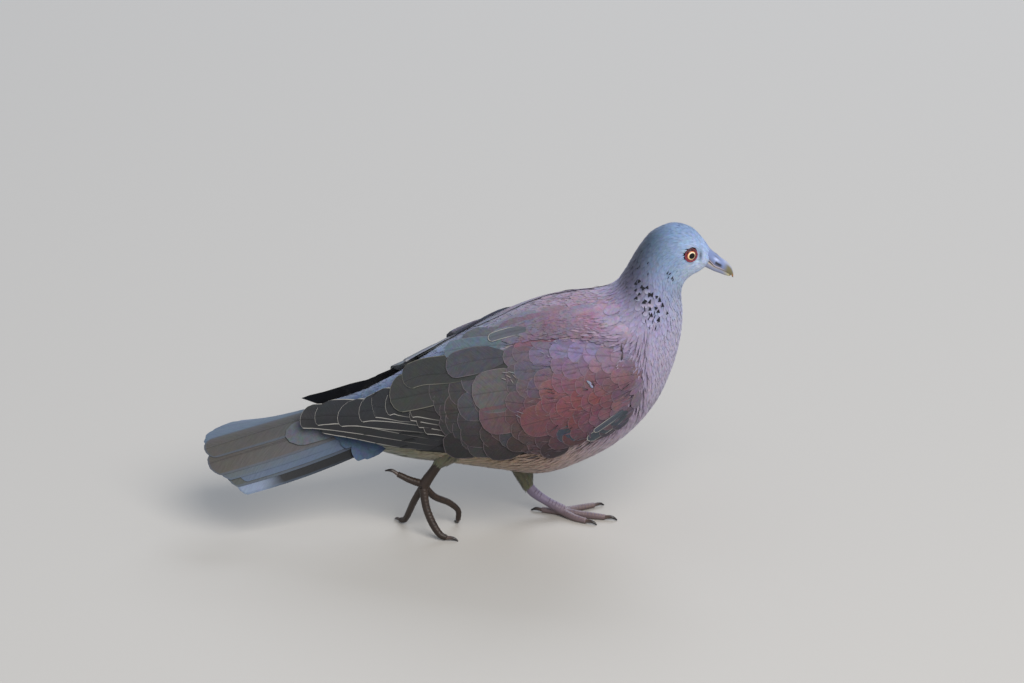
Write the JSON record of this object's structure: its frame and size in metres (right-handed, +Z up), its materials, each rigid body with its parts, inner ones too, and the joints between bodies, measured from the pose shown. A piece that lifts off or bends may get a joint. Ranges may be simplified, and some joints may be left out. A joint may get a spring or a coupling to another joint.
{
  "type": "turtle dove",
  "caption": "Life-size walking turtle dove with a round blue-grey head, wine-coloured folded wings and a long fanned tail.",
  "frame": {"origin": "under the middle of the whole bird's box, on the floor", "axes": "+X the way the bird faces, +Z up, +Y its left side"},
  "size_m": [0.2486, 0.0796, 0.1524],
  "materials": {
    "head_plumage": "soft matte feathers, blue-grey",
    "neck_plumage": "soft matte feathers, mauve-grey with small dark tips",
    "body_plumage": "soft matte feathers, mauve above and buff below",
    "covert_plumage": "smooth feathers, dark wine-maroon",
    "flight_feathers": "firm smooth vanes, blackish-brown with thin cream edges",
    "tail_feathers": "firm smooth vanes, slate and brown-grey with pale tips",
    "bill_horn": "horn with a soft sheen, lilac-grey with a horn-yellow tip",
    "eye": "wet and clear, dark pupil in an orange iris",
    "leg_skin": "scaled skin, lilac-pink with dark red scutes",
    "claw_horn": "dark polished horn"
  },
  "bodies": {
    "root": {"head": "head_plumage", "upper_bill": "bill_horn", "lower_bill": "bill_horn", "eye_left": "eye", "eye_right": "eye", "neck": "neck_plumage", "trunk": "body_plumage", "wing_left_coverts": "covert_plumage", "wing_left_secondaries": "flight_feathers", "wing_left_primaries": "flight_feathers", "wing_left_tip": "flight_feathers", "wing_right_coverts": "covert_plumage", "wing_right_secondaries": "flight_feathers", "wing_right_primaries": "flight_feathers", "wing_right_tip": "flight_feathers", "tail": "tail_feathers", "thigh_left": "body_plumage", "tarsus_left": "leg_skin", "toe_1_left": "leg_skin", "toe_2_left": "leg_skin", "toe_3_left": "leg_skin", "toe_4_left": "leg_skin", "claw_1_left": "claw_horn", "claw_2_left": "claw_horn", "claw_3_left": "claw_horn", "claw_4_left": "claw_horn", "thigh_right": "body_plumage", "tarsus_right": "leg_skin", "toe_1_right": "leg_skin", "toe_2_right": "leg_skin", "toe_3_right": "leg_skin", "toe_4_right": "leg_skin", "claw_1_right": "claw_horn", "claw_2_right": "claw_horn", "claw_3_right": "claw_horn", "claw_4_right": "claw_horn"}
  },
  "joints": []
}
